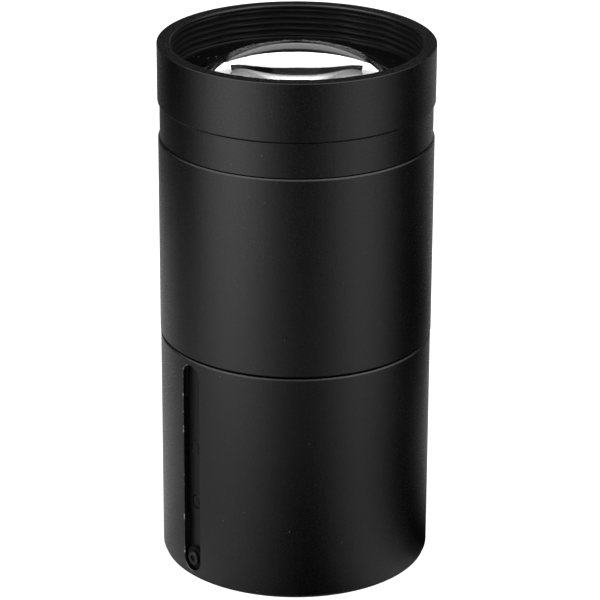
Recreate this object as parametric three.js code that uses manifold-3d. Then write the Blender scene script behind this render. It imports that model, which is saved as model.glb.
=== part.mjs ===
// Draw-tube viewing loupe with a screw-focused eyepiece. Millimetres, +Z up.
// The origin is the centre of the foot, on the surface that the loupe stands on.
// The guide slot in the lower barrel faces -Y. Most pieces are turned about the Z axis.
//
// Four groups move as rigid bodies:
//   base      the slotted lower barrel, its felt liners and its foot
//   drawTube  the upper barrel and the inner tube, which slide up out of the base
//   optics    the lens cell, keyed to the inner tube, so it rises without turning
//   eyepiece  the threaded ring and sleeve, which turn on the lens cell to lift it
import * as THREE from 'three';
import { mergeVertices } from 'three/addons/utils/BufferGeometryUtils.js';
import Module from 'manifold-3d';

const wasm = await Module();
wasm.setup();

// ---- Driving dimensions ----
const SIDES = 48;                     // facets round a turned piece
const SCREW_SIDES = 16;               // facets round a screw
const CLEARANCE = 0.05;               // between pieces that are fixed to each other
const RUNNING_CLEARANCE = 0.15;       // between pieces that turn on each other
const CUT_MARGIN = 2;                 // how far a cutting tool runs past what it cuts

const RING_R = 30;                    // eyepiece ring, the widest piece
const UPPER_R = 29.9;                 // upper barrel
const LOWER_R = 29.8;                 // lower barrel
const NECK_R = 29.55;                 // neck between eyepiece ring and upper barrel
const EDGE = 0.3;                     // chamfer on the outside edges

const FOOT_H = 0.45;                  // soft foot ring
const FOOT_BEVEL = 0.1;
const LOWER_BOTTOM = 0.5;
const LOWER_TOP = 52.1;
const SEAM_GAP = 0.4;                 // shadow gap between the two barrels
const UPPER_BOTTOM = LOWER_TOP + SEAM_GAP;
const UPPER_TOP = 97.2;
const NECK_H = 7.9;
const NECK_GAP = 0.1;                 // below and above the neck
const NECK_BEVEL = 0.15;
const RING_BOTTOM = UPPER_TOP + NECK_H + NECK_GAP;
const TOP = 118.1;                    // rim of the eyepiece ring

const LOWER_WALL = 1.5;
const TUBE_R = 28.2;                  // sliding part of the inner tube
const TUBE_BORE_R = 26.7;
const TUBE_BOTTOM = 0.8;
const TUBE_HEAD_R = 28.55;            // threaded head of the inner tube, inside the upper barrel
const TUBE_TOP = 78;
const TUBE_STEP = 0.6;                // the head starts this far above the upper barrel's foot
const HEAD_BORE_R = 28.65;            // upper barrel bore that takes the tube's head

const LINER_T = 0.7;                  // felt liners let into the lower barrel's bore
const LINER_H = 8;
const LINER_BOTTOMS = [6, 42];

const SLOT_W = 5.5;
const SLOT_BOTTOM = 1.4;
const SLOT_TOP = 50.7;
const SLOT_CUT_DEPTH = 6;             // from the tube's bore out past the barrel
const SLOT_END_SEGMENTS = 8;
const LINER_SLOT_MARGIN = 0.2;        // the felt is cut this much wider than the slot
const GUIDE_Z = 4.2;                  // guide screw, at the foot of the slot
const SET_SCREW_ZS = [17.7, 31];      // set screws behind the slot, one for each baffle
const BUSH_R = 2.6;
const BUSH_SPAN = [28.3, 28.9];       // distances of the bush's two ends from the loupe's axis
const GUIDE_HEAD_SPAN = [28.95, 29.55];
const SCREW_BEVEL = 0.15;
const GUIDE_HEAD_R = 1.6;
const GUIDE_SHANK_R = 1.25;
const SET_SCREW_R = 1.5;
const SET_SCREW_RECESS = 0.1;         // below the tube's surface
const KEY_SCREW_RECESS = 0.15;

const GUIDE_SOCKET = 1.7;             // sockets are measured across their corners
const GUIDE_SOCKET_DEPTH = 0.4;
const SET_SOCKET = 1.73;
const SET_SOCKET_DEPTH = 0.9;
const KEY_SOCKET = 2.3;
const KEY_SOCKET_DEPTH = 0.5;

const BAFFLE_H = 5;
const BAFFLE_EDGE_R = 24.9;
const BAFFLE_RIM_T = 0.7;             // wall of the ring behind the knife edge
const BAFFLE_GAP = 0.1;               // to the tube's bore

const FOCUS_TRAVEL = 5.5;             // lift of the eyepiece between its two stops
const THREAD_BORE_R = 28.1;           // focusing thread in the upper barrel
const SLEEVE_R = THREAD_BORE_R - RUNNING_CLEARANCE;
const SLEEVE_BORE_R = 26.35;
const SLEEVE_BOTTOM = 80;
const STOP_RING_R = HEAD_BORE_R - RUNNING_CLEARANCE;
const STOP_RING_BOTTOM = 80.3;
const STOP_RING_H = 1;
const STOP_GAP = 0.1;                 // left at the top of the travel
const SPIGOT_R = 28.3;                // top of the sleeve, screwed into the eyepiece ring
const SPIGOT_TOP = 107.5;
const STOP_RING_T = 1.2;
const STOP_RING_SPLIT = 4;            // gap in the ring

const CELL_R = SLEEVE_BORE_R - RUNNING_CLEARANCE;
const CELL_BORE_R = 24.3;
const SPACER_T = 1.4;
const CELL_BOTTOM = 62;
const CELL_FLANGE_R = 28.1;
const CELL_FLANGE_BOTTOM = 107.95;
const CELL_TOP = 109.1;
const LENS_SEAT_BOTTOM = 76;
const LENS_SEAT_TOP = 78;
const LENS_SEAT_R = 22.5;
const KEY_Z = 70;
const KEY_SCREW_R = 1.5;
const KEY_SCREW_HEAD_R = 2.4;
const KEY_SEAT_DEPTH = 1;
const KEY_TIP_R = 24.9;               // how far in the key screw's end reaches
const KEYWAY_W = 3.2;
const KEYWAY_MARGIN = 0.3;            // room above the key screw

const RIM_BORE_R = 27.05;             // mouth of the eyepiece ring
const THREAD_CREST_R = 27;            // accessory thread inside the eyepiece ring
const THREAD_ROOT_R = 27.45;
const THREAD_PITCH = 1.4;
const THREAD_TURNS = 5;
const THREAD_TOP = TOP - 0.5;
const THREAD_END_SLOPE = 0.2;
const THREAD_FLANK = 0.55;            // share of the pitch from a root down to the next crest

const LENS_R = 24.2;
const FRONT_STEPS = 8;                // rings of facets on the front lens
const LENS_STEPS = 4;                 // and on the flatter surfaces
const LENS_APEX = 116.55;             // top of the domed front lens
const CROWN_FRONT_R = 40;
const CEMENT_R = 72;                  // surface where crown and flint are cemented
const CROWN_T = 13.6;
const CEMENT_GAP = 0.05;
const FLINT_T = 3;                    // flint thickness on the axis
const REAR_LENS_T = 5;
const REAR_LENS_CURVE_R = 129;
const RETAINER_R = 26.85;
const RETAINER_BORE_R = 22.4;
const RETAINER_LIP = 0.35;            // height of its thin inner edge
const RETAINER_SPIGOT_H = 0.7;
const RETAINER_BOTTOM = 109.2;
const RETAINER_TOP = 110.15;

// ---- Geometry helpers ----

// Area of a closed profile, positive when it runs anticlockwise.
function signedArea(points) {
  let sum = 0;
  points.forEach(([r, z], i) => {
    const [nextR, nextZ] = points[(i + 1) % points.length];
    sum += r * nextZ - nextR * z;
  });
  return sum / 2;
}

// Solid turned from a profile of [radius, height] points, with its axis along Y.
// A profile that touches the axis starts and ends there; any other one is closed here.
function lathe(points, sides) {
  const ordered = signedArea(points) > 0 ? [...points] : [...points].reverse();
  if (ordered[0][0] > 0) ordered.push(ordered[0]);
  return new THREE.LatheGeometry(ordered.map(([r, z]) => new THREE.Vector2(r, z)), sides);
}

// Turned solid that stands on the Z axis.
function turned(points, sides = SIDES) {
  return lathe(points, sides).rotateX(Math.PI / 2);
}

// Turned solid whose axis points out of the loupe, through -Y or +Y, at a height.
// The profile's heights are distances from the loupe's own axis.
function radial(points, height, towards = -1, sides = SCREW_SIDES) {
  const solid = lathe(points, sides);
  if (towards < 0) solid.rotateX(Math.PI);
  return solid.translate(0, 0, height);
}

// Plain pin along Y between two distances from the loupe's axis.
function radialPin(radius, from, to, height, towards = -1, sides = SCREW_SIDES) {
  return radial([[0, from], [radius, from], [radius, to], [0, to]], height, towards, sides);
}

function toManifold(geometry) {
  const bare = geometry.clone();
  bare.deleteAttribute('normal');
  bare.deleteAttribute('uv');
  const merged = mergeVertices(bare, 1e-4);
  const index = merged.index.array;
  const corners = [];
  for (let i = 0; i < index.length; i += 3) {
    const [a, b, c] = [index[i], index[i + 1], index[i + 2]];
    if (a !== b && b !== c && c !== a) corners.push(a, b, c);
  }
  return new wasm.Manifold(new wasm.Mesh({
    numProp: 3,
    vertProperties: new Float32Array(merged.attributes.position.array),
    triVerts: new Uint32Array(corners),
  }));
}

function fromManifold(solid) {
  const mesh = solid.getMesh();
  const geometry = new THREE.BufferGeometry();
  geometry.setAttribute('position', new THREE.BufferAttribute(mesh.vertProperties, 3));
  geometry.setIndex(new THREE.BufferAttribute(mesh.triVerts, 1));
  geometry.computeVertexNormals();
  return geometry;
}

// The body with each tool cut out of it.
function cut(body, ...tools) {
  let solid = toManifold(body);
  for (const tool of tools) solid = solid.subtract(toManifold(tool));
  return fromManifold(solid);
}

// Upright stadium that cuts through a wall on the -Y side.
function slotCutter(width, bottom, top) {
  const r = width / 2;
  const outline = new THREE.Shape();
  outline.absarc(0, top - r, r, 0, Math.PI);
  outline.absarc(0, bottom + r, r, Math.PI, 2 * Math.PI);
  outline.closePath();
  const shape = { depth: SLOT_CUT_DEPTH, bevelEnabled: false, curveSegments: SLOT_END_SEGMENTS };
  const cutter = new THREE.ExtrudeGeometry(outline, shape);
  return cutter.rotateX(Math.PI / 2).translate(0, -TUBE_BORE_R, 0);
}

// Points of a spherical surface from the axis out to a radius. The apex is on the axis and
// the rim is lower by the sag, or higher when the bend is -1.
function lensArc(apex, curveR, rim, bend, steps) {
  const spread = Math.asin(rim / curveR);
  return Array.from({ length: steps + 1 }, (_, i) => {
    const angle = (spread * i) / steps;
    return [curveR * Math.sin(angle), apex - bend * curveR * (1 - Math.cos(angle))];
  });
}

// ---- Materials ----

function finish(color, roughness, metalness, extra = {}) {
  return new THREE.MeshStandardMaterial({ color, roughness, metalness, ...extra });
}

const anodised = () => finish(0x1c1c1d, 0.42, 0.6);
const innerBlack = () => finish(0x0c0c0d, 0.8, 0.3);
const blackSteel = () => finish(0x242426, 0.35, 0.9);
const grainedBlack = () => finish(0x0a0a0a, 0.95, 0.1);
const nylon = () => finish(0x101010, 0.6, 0);
const felt = () => finish(0x080808, 1, 0);
const softRubber = () => finish(0x141414, 0.9, 0);
const glass = () => finish(0xdfe6e8, 0.03, 0, { transparent: true, opacity: 0.35 });

function piece(name, geometry, material) {
  const mesh = new THREE.Mesh(geometry, material);
  mesh.name = name;
  return mesh;
}

// ---- Base: what stands on the surface ----

// Tube wall with felt recesses in its bore, cut through by the guide slot.
function lowerBarrel() {
  const bore = LOWER_R - LOWER_WALL;
  const recess = TUBE_R + CLEARANCE + LINER_T + CLEARANCE;
  const profile = [
    [bore, LOWER_BOTTOM],
    [LOWER_R - EDGE, LOWER_BOTTOM],
    [LOWER_R, LOWER_BOTTOM + EDGE],
    [LOWER_R, LOWER_TOP - EDGE],
    [LOWER_R - EDGE, LOWER_TOP],
    [bore, LOWER_TOP],
  ];
  for (const bottom of [...LINER_BOTTOMS].reverse()) {
    const [low, high] = [bottom - CLEARANCE, bottom + LINER_H + CLEARANCE];
    profile.push([bore, high], [recess, high], [recess, low], [bore, low]);
  }
  return cut(turned(profile), slotCutter(SLOT_W, SLOT_BOTTOM, SLOT_TOP));
}

// Felt band that drags on the inner tube; the guide slot passes through it.
function feltLiner(bottom) {
  const inner = TUBE_R + CLEARANCE;
  const outer = inner + LINER_T;
  const top = bottom + LINER_H;
  const band = turned([[inner, bottom], [outer, bottom], [outer, top], [inner, top]]);
  return cut(band, slotCutter(SLOT_W + LINER_SLOT_MARGIN, SLOT_BOTTOM, SLOT_TOP));
}

// Soft ring under the barrel's end, which also covers the end of the inner tube.
function baseRing() {
  const outer = LOWER_R - EDGE;
  return turned([
    [TUBE_BORE_R, 0],
    [outer - FOOT_BEVEL, 0],
    [outer, FOOT_BEVEL],
    [outer, FOOT_H],
    [TUBE_BORE_R, FOOT_H],
  ]);
}

function base() {
  const group = new THREE.Group();
  group.add(piece('lower_barrel', lowerBarrel(), anodised()));
  group.add(piece('base_ring', baseRing(), softRubber()));
  group.add(piece('felt_liner_lower', feltLiner(LINER_BOTTOMS[0]), felt()));
  group.add(piece('felt_liner_upper', feltLiner(LINER_BOTTOMS[1]), felt()));
  return group;
}

// ---- Draw tube: slides up out of the base ----

// Outer tube: wide bore for the inner tube's head and the stop ring, then the focusing thread.
function upperBarrel() {
  const shoulder = STOP_RING_BOTTOM + STOP_RING_H + FOCUS_TRAVEL + STOP_GAP;
  return turned([
    [HEAD_BORE_R, UPPER_BOTTOM],
    [UPPER_R - EDGE, UPPER_BOTTOM],
    [UPPER_R, UPPER_BOTTOM + EDGE],
    [UPPER_R, UPPER_TOP - EDGE],
    [UPPER_R - EDGE, UPPER_TOP],
    [THREAD_BORE_R, UPPER_TOP],
    [THREAD_BORE_R, shoulder],
    [HEAD_BORE_R, shoulder],
  ]);
}

// Stepped tube: the head screws into the upper barrel and the rest slides in the lower one.
function innerTube() {
  const step = UPPER_BOTTOM + TUBE_STEP;
  const tube = turned([
    [TUBE_BORE_R, TUBE_BOTTOM],
    [TUBE_R, TUBE_BOTTOM],
    [TUBE_R, step],
    [TUBE_HEAD_R, step],
    [TUBE_HEAD_R, TUBE_TOP],
    [TUBE_BORE_R, TUBE_TOP],
  ]);
  const [inside, outside] = [TUBE_BORE_R - CUT_MARGIN, TUBE_R + CUT_MARGIN];
  const setScrewHoles = SET_SCREW_ZS.map((z) => radialPin(SET_SCREW_R + CLEARANCE, inside, outside, z));
  const keySeat = TUBE_HEAD_R - KEY_SEAT_DEPTH - CLEARANCE;
  return cut(
    tube,
    radialPin(GUIDE_SHANK_R + CLEARANCE, inside, outside, GUIDE_Z),
    ...setScrewHoles,
    radialPin(KEY_SCREW_R + CLEARANCE, inside, outside, KEY_Z, 1),
    radialPin(KEY_SCREW_HEAD_R + 2 * CLEARANCE, keySeat, outside, KEY_Z, 1),
  );
}

// Hexagonal recess for a key, cut into the outer end of a screw.
function socket(acrossCorners, face, depth, height, towards = -1) {
  return radialPin(acrossCorners / 2, face - depth, face + CUT_MARGIN, height, towards, 6);
}

// Screw that holds the bush; its head stays under the barrel's surface.
function guideScrew() {
  const tip = TUBE_BORE_R + 2 * CLEARANCE;
  const [seat, face] = GUIDE_HEAD_SPAN;
  const screw = radial([
    [0, tip],
    [GUIDE_SHANK_R, tip],
    [GUIDE_SHANK_R, seat],
    [GUIDE_HEAD_R, seat],
    [GUIDE_HEAD_R, face - SCREW_BEVEL],
    [GUIDE_HEAD_R - SCREW_BEVEL, face],
    [0, face],
  ], GUIDE_Z);
  return cut(screw, socket(GUIDE_SOCKET, face, GUIDE_SOCKET_DEPTH, GUIDE_Z));
}

// Bush that runs up and down the slot.
function guideBush() {
  const bore = GUIDE_SHANK_R + CLEARANCE;
  const [inner, outer] = BUSH_SPAN;
  return radial([[bore, inner], [BUSH_R, inner], [BUSH_R, outer], [bore, outer]], GUIDE_Z);
}

// Headless screw through the tube's wall that bears on a baffle.
function setScrew(height) {
  const [tip, face] = [TUBE_BORE_R - CLEARANCE, TUBE_R - SET_SCREW_RECESS];
  const screw = radialPin(SET_SCREW_R, tip, face, height);
  return cut(screw, socket(SET_SOCKET, face, SET_SOCKET_DEPTH, height));
}

// Ring with a knife edge that stops light glancing off the tube's wall.
function baffle(height) {
  const outer = TUBE_BORE_R - BAFFLE_GAP;
  const inner = outer - BAFFLE_RIM_T;
  const [low, high] = [height - BAFFLE_H / 2, height + BAFFLE_H / 2];
  return turned([[outer, low], [outer, high], [inner, high], [BAFFLE_EDGE_R, height], [inner, low]]);
}

// Screw whose inner end stands in the lens cell's keyway.
function cellKeyScrew() {
  const [seat, face] = [TUBE_HEAD_R - KEY_SEAT_DEPTH, TUBE_HEAD_R - KEY_SCREW_RECESS];
  const screw = radial([
    [0, KEY_TIP_R],
    [KEY_SCREW_R, KEY_TIP_R],
    [KEY_SCREW_R, seat],
    [KEY_SCREW_HEAD_R, seat],
    [KEY_SCREW_HEAD_R, face],
    [0, face],
  ], KEY_Z, 1);
  return cut(screw, socket(KEY_SOCKET, face, KEY_SOCKET_DEPTH, KEY_Z, 1));
}

function drawTube() {
  const group = new THREE.Group();
  group.add(piece('upper_barrel', upperBarrel(), anodised()));
  group.add(piece('inner_tube', innerTube(), anodised()));
  group.add(piece('guide_bush', guideBush(), nylon()));
  group.add(piece('guide_screw', guideScrew(), blackSteel()));
  group.add(piece('cell_key_screw', cellKeyScrew(), blackSteel()));
  ['lower', 'upper'].forEach((level, i) => {
    group.add(piece(`set_screw_${level}`, setScrew(SET_SCREW_ZS[i]), blackSteel()));
    group.add(piece(`baffle_${level}`, baffle(SET_SCREW_ZS[i]), innerBlack()));
  });
  return group;
}

// ---- Optics: rise with the eyepiece but don't turn ----

// Tube that holds the lenses, with a flange at the top and a keyway in its skirt.
function lensCell() {
  const cell = turned([
    [CELL_BORE_R, CELL_BOTTOM],
    [CELL_R, CELL_BOTTOM],
    [CELL_R, CELL_FLANGE_BOTTOM],
    [CELL_FLANGE_R, CELL_FLANGE_BOTTOM],
    [CELL_FLANGE_R, CELL_TOP],
    [CELL_BORE_R, CELL_TOP],
    [CELL_BORE_R, LENS_SEAT_TOP],
    [LENS_SEAT_R, LENS_SEAT_TOP],
    [LENS_SEAT_R, LENS_SEAT_BOTTOM],
    [CELL_BORE_R, LENS_SEAT_BOTTOM],
  ]);
  const bottom = CELL_BOTTOM - CUT_MARGIN;
  const top = KEY_Z + KEY_SCREW_R + KEYWAY_MARGIN;
  const through = 2 * (CELL_R - CELL_BORE_R + CUT_MARGIN);
  const keyway = new THREE.BoxGeometry(KEYWAY_W, through, top - bottom);
  keyway.translate(0, CELL_R, (bottom + top) / 2);
  return cut(cell, keyway);
}

// Biconvex front element of the cemented doublet.
function frontCrownLens() {
  const front = lensArc(LENS_APEX, CROWN_FRONT_R, LENS_R, 1, FRONT_STEPS);
  const back = lensArc(LENS_APEX - CROWN_T, CEMENT_R, LENS_R, -1, LENS_STEPS);
  return turned([...front, ...back.reverse()]);
}

function flintBack() {
  return LENS_APEX - CROWN_T - CEMENT_GAP - FLINT_T;
}

// Element behind the crown: hollow in front, flat behind.
function frontFlintLens() {
  const front = lensArc(LENS_APEX - CROWN_T - CEMENT_GAP, CEMENT_R, LENS_R, -1, LENS_STEPS);
  return turned([...front, [LENS_R, flintBack()], [0, flintBack()]]);
}

// Flat towards the eye, domed towards the image.
function rearLens() {
  const flat = LENS_SEAT_TOP + REAR_LENS_T;
  const sag = REAR_LENS_CURVE_R - Math.sqrt(REAR_LENS_CURVE_R ** 2 - LENS_SEAT_R ** 2);
  const back = lensArc(LENS_SEAT_TOP + CLEARANCE - sag, REAR_LENS_CURVE_R, LENS_R, -1, LENS_STEPS);
  return turned([[0, flat], [LENS_R, flat], ...back.reverse()]);
}

// Tube that keeps the two lens groups apart.
function lensSpacer() {
  const inner = LENS_R - SPACER_T;
  const bottom = LENS_SEAT_TOP + REAR_LENS_T + CLEARANCE;
  const top = flintBack() - CLEARANCE;
  return turned([[inner, bottom], [LENS_R, bottom], [LENS_R, top], [inner, top]]);
}

// Ring that screws down on the front lens; its top is the grained black annulus.
function lensRetainingRing() {
  const spigot = CELL_BORE_R - CLEARANCE;
  return turned([
    [RETAINER_BORE_R, RETAINER_TOP - RETAINER_LIP],
    [RETAINER_BORE_R + RETAINER_LIP, RETAINER_TOP],
    [RETAINER_R, RETAINER_TOP],
    [RETAINER_R, RETAINER_BOTTOM],
    [spigot, RETAINER_BOTTOM],
    [spigot, RETAINER_BOTTOM - RETAINER_SPIGOT_H],
  ]);
}

// Slippery washer under the cell's flange, which the turning sleeve bears on.
function thrustWasher() {
  const [inner, outer] = [CELL_R + RUNNING_CLEARANCE, CELL_FLANGE_R];
  const [low, high] = [SPIGOT_TOP + CLEARANCE, CELL_FLANGE_BOTTOM - CLEARANCE];
  return turned([[inner, low], [outer, low], [outer, high], [inner, high]]);
}

function optics() {
  const group = new THREE.Group();
  group.add(piece('lens_cell', lensCell(), innerBlack()));
  group.add(piece('front_crown_lens', frontCrownLens(), glass()));
  group.add(piece('front_flint_lens', frontFlintLens(), glass()));
  group.add(piece('lens_spacer', lensSpacer(), innerBlack()));
  group.add(piece('rear_lens', rearLens(), glass()));
  group.add(piece('lens_retaining_ring', lensRetainingRing(), grainedBlack()));
  group.add(piece('thrust_washer', thrustWasher(), nylon()));
  return group;
}

// ---- Eyepiece: turns on the lens cell and screws in the upper barrel ----

// Top ring, with the accessory thread in its bore as a row of ridges.
function eyepieceRing() {
  const shoulder = RETAINER_BOTTOM;
  const profile = [
    [SPIGOT_R + CLEARANCE, RING_BOTTOM],
    [RING_R - EDGE, RING_BOTTOM],
    [RING_R, RING_BOTTOM + EDGE],
    [RING_R, TOP - EDGE],
    [RING_R - EDGE, TOP],
    [RIM_BORE_R, TOP],
    [RIM_BORE_R, THREAD_TOP],
  ];
  for (let turn = 0; turn < THREAD_TURNS; turn += 1) {
    const root = THREAD_TOP - turn * THREAD_PITCH;
    profile.push([THREAD_CREST_R, root - THREAD_FLANK * THREAD_PITCH]);
    profile.push([THREAD_ROOT_R, root - THREAD_PITCH]);
  }
  const plainBore = [THREAD_CREST_R, THREAD_TOP - THREAD_TURNS * THREAD_PITCH - THREAD_END_SLOPE];
  profile.push(plainBore, [THREAD_CREST_R, shoulder], [SPIGOT_R + CLEARANCE, shoulder]);
  return turned(profile);
}

// Neck and focusing thread in one sleeve, grooved near its foot for the stop ring.
function focusSleeve() {
  const groove = STOP_RING_R - STOP_RING_T - CLEARANCE;
  const [neckBottom, neckTop] = [UPPER_TOP + NECK_GAP, UPPER_TOP + NECK_H];
  return turned([
    [SLEEVE_BORE_R, SLEEVE_BOTTOM],
    [SLEEVE_R, SLEEVE_BOTTOM],
    [SLEEVE_R, STOP_RING_BOTTOM - CLEARANCE],
    [groove, STOP_RING_BOTTOM - CLEARANCE],
    [groove, STOP_RING_BOTTOM + STOP_RING_H + CLEARANCE],
    [SLEEVE_R, STOP_RING_BOTTOM + STOP_RING_H + CLEARANCE],
    [SLEEVE_R, neckBottom],
    [NECK_R - NECK_BEVEL, neckBottom],
    [NECK_R, neckBottom + NECK_BEVEL],
    [NECK_R, neckTop],
    [SPIGOT_R, neckTop],
    [SPIGOT_R, SPIGOT_TOP],
    [SLEEVE_BORE_R, SPIGOT_TOP],
  ]);
}

// Split ring that meets the upper barrel's shoulder at the top of the focusing travel.
function stopRing() {
  const inner = STOP_RING_R - STOP_RING_T;
  const [low, high] = [STOP_RING_BOTTOM, STOP_RING_BOTTOM + STOP_RING_H];
  const ring = turned([[inner, low], [STOP_RING_R, low], [STOP_RING_R, high], [inner, high]]);
  const through = 2 * (STOP_RING_T + CUT_MARGIN);
  const gap = new THREE.BoxGeometry(STOP_RING_SPLIT, through, STOP_RING_H + 2 * CUT_MARGIN);
  return cut(ring, gap.translate(0, STOP_RING_R, (low + high) / 2));
}

function eyepiece() {
  const group = new THREE.Group();
  group.add(piece('eyepiece_ring', eyepieceRing(), anodised()));
  group.add(piece('focus_sleeve', focusSleeve(), anodised()));
  group.add(piece('stop_ring', stopRing(), blackSteel()));
  return group;
}

const loupe = new THREE.Group();
loupe.add(base(), drawTube(), optics(), eyepiece());

export default loupe;
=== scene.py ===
import math

import bmesh
import bpy
from mathutils import Matrix, Vector


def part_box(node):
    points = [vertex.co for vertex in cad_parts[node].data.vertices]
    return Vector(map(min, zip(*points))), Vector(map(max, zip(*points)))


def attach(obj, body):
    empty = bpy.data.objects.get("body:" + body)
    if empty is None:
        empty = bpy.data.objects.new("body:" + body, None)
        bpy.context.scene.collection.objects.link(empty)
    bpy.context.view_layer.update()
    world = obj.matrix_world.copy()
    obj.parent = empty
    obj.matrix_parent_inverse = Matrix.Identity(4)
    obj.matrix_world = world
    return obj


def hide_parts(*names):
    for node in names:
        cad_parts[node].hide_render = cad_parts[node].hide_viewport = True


# Looks for the viewing loupe. Lengths are in millimetres until a mesh is made, and MM takes
# them to metres. The guide slot faces -Y, and the loupe stands on z = 0.

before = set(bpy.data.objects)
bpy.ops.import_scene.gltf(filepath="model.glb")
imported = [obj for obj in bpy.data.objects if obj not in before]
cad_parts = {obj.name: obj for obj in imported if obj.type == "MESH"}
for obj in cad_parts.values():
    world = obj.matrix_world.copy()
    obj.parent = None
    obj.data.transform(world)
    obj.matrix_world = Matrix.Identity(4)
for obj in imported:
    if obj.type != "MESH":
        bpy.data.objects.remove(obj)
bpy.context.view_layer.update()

MM = 0.001
TAU = 2 * math.pi
SIDES = 192            # columns round a turned piece
SCREW_SIDES = 48       # columns round a screw, a multiple of 6 for its socket
FILLET_STEPS = 4
SUPPORT = 0.05         # extra ring beside a fillet, which keeps the flats flat in shading
ON_AXIS = 1e-6
EDGE_NORMAL = 0.05     # a lens face this near to upright is its ground edge
SHARP = math.radians(38)


def reach(node):
    """Outer radius, lowest and highest level of a turned CAD node, in millimetres."""
    low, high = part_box(node)
    return high.x / MM, low.z / MM, high.z / MM


# ---- Dimensions that a box can't give; the rest come from the frame ----
GAP = 0.05
LOWER_BORE = 28.3
LINER_IN, LINER_OUT = 28.25, 28.95
TUBE_R = 28.2
TUBE_BORE = 26.7
HEAD_BORE = 28.65
THREAD_BORE = 28.1
SLEEVE_BORE = 26.35
SLEEVE_THREAD_R = 27.95
SPIGOT_R = 28.3
CELL_R = 26.2
CELL_BORE = 24.3
SLOT_W = 5.5
SLOT_BOTTOM, SLOT_TOP = 1.4, 50.7
EDGE = 0.3             # outside chamfers
SOFT = 0.08            # rounding of a chamfer's edges
NECK_EDGE = 0.15
SLOT_CHAMFER = 0.16
FILLED_SOCKET = 0.12   # the set screws' sockets are filled with black lacquer
RIM_EDGE = 0.12
MOUTH_EDGE = 0.25
CREST_R, ROOT_R = 27.0, 27.45
RIM_BORE = 27.05
THREAD_PITCH = 1.4
THREAD_TOP = 117.6
THREAD_TURNS = 5
THREAD_STEEPNESS, THREAD_LAND = 2.8, 0.5     # narrow ridges with wide roots between them
THREAD_RUN_OUT = 0.35  # share of a pitch over which a thread fades at its ends
THREAD_SHOULDER = 0.95 # the ring's shoulder lies this far below the retaining ring's top
FOCUS_LEAD = 6.0
FOCUS_STARTS = 4
FOCUS_THREAD = (7.5, 0.4)      # how far below the neck the focusing thread starts and ends
FOCUS_DEPTH = -0.5
NECK_GAP = 0.1
FRONT_CURVE, CEMENT_CURVE, REAR_CURVE = 40.0, 72.0, 129.0
CROWN_T, FLINT_T = 13.6, 3.0
CEMENT = 0.02          # the cemented faces overlap by this, so light crosses them unbroken
LENS_STEPS = 40

GUIDE_HOLE_R, SET_HOLE_R = 1.3, 1.55
KEY_SEAT_R, KEY_SEAT_DEPTH = 2.5, 1.05
HOLE_FLARE = 0.06
PAST_WALL = 2          # how far a cutter reaches inside the tube
GUIDE_SHANK_R, GUIDE_HEAD = 1.25, (1.6, 28.95, 29.55)
GUIDE_SOCKET, GUIDE_SOCKET_DEPTH = 1.7, 0.4
BUSH_R, BUSH_IN, BUSH_OUT = 2.6, 28.3, 28.9
SET_SCREW_R, SET_SCREW_SUNK, SET_SOCKET = 1.5, 0.1, 1.73
KEY_SCREW_R, KEY_TIP, KEY_HEAD_R = 1.5, 24.9, 2.4
KEY_SOCKET, KEY_SOCKET_DEPTH = 2.3, 0.35
SOCKET_LIP = 0.06
SCREW_BEVEL, TIP_BEVEL = 0.12, 0.15
TUBE_STEP = 0.6        # the inner tube's head starts this far above the upper barrel's foot
BARREL_SHOULDER = 86.9
KNIFE_R, BAFFLE_RIM_T = 24.9, 0.7
FLANGE = 107.95
SEAT_R, SEAT_LOW, SEAT_HIGH = 22.5, 76, 78
KEYWAY_HALF, KEYWAY_ABOVE = 1.6, 1.8
SPACER_T, SPACER_RIBS, RIB_DEPTH, RIB_LAND = 1.4, 22, 0.25, 0.02
RETAINER_BORE, RETAINER_SLOPE, RETAINER_LIP = 22.4, 0.35, 0.35
RETAINER_SEAT = 0.1
WASHER_GAP = 0.15
STOP_GROOVE = 1.25
STOP_RING_T, STOP_SPLIT_HALF = 1.2, 2
LINER_SLOT_MARGIN = 0.2
DISC_SIDES = 96
BLOCK_FACES = [(0, 1, 3, 2), (4, 6, 7, 5), (0, 4, 5, 1), (2, 3, 7, 6), (0, 2, 6, 4), (1, 5, 7, 3)]


# ---- Mesh helpers ----

def fillet(corners):
    """Closed outline of (radius, level) with an arc at each corner that also gives a size."""
    outline = []
    count = len(corners)
    for i, corner in enumerate(corners):
        if len(corner) < 3:
            outline.append(tuple(corner[:2]))
            continue
        here = Vector(corner[:2])
        back = Vector(corners[i - 1][:2]) - here
        on = Vector(corners[(i + 1) % count][:2]) - here
        run = corner[2] / math.tan(back.angle(on) / 2)
        run = min(run, 0.4 * back.length, 0.4 * on.length)
        start = here + back.normalized() * run
        end = here + on.normalized() * run
        outline.append(tuple(start + back.normalized() * min(SUPPORT, 0.08 * back.length)))
        for k in range(FILLET_STEPS + 1):
            t = k / FILLET_STEPS
            outline.append(tuple(start.lerp(here, t).lerp(here.lerp(end, t), t)))
        outline.append(tuple(end + on.normalized() * min(SUPPORT, 0.08 * on.length)))
    return outline


def solid(name, verts, faces):
    """Object from points in millimetres, with faces turned outwards and smooth shading."""
    mesh = bpy.data.meshes.new(name)
    mesh.from_pydata([[c * MM for c in v] for v in verts], [], faces)
    tidy(mesh)
    obj = bpy.data.objects.new(name, mesh)
    bpy.context.scene.collection.objects.link(obj)
    return obj


def tidy(mesh):
    bm = bmesh.new()
    bm.from_mesh(mesh)
    bmesh.ops.recalc_face_normals(bm, faces=bm.faces)
    bm.to_mesh(mesh)
    bm.free()
    mesh.shade_smooth()
    mesh.set_sharp_from_angle(angle=SHARP)


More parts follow.
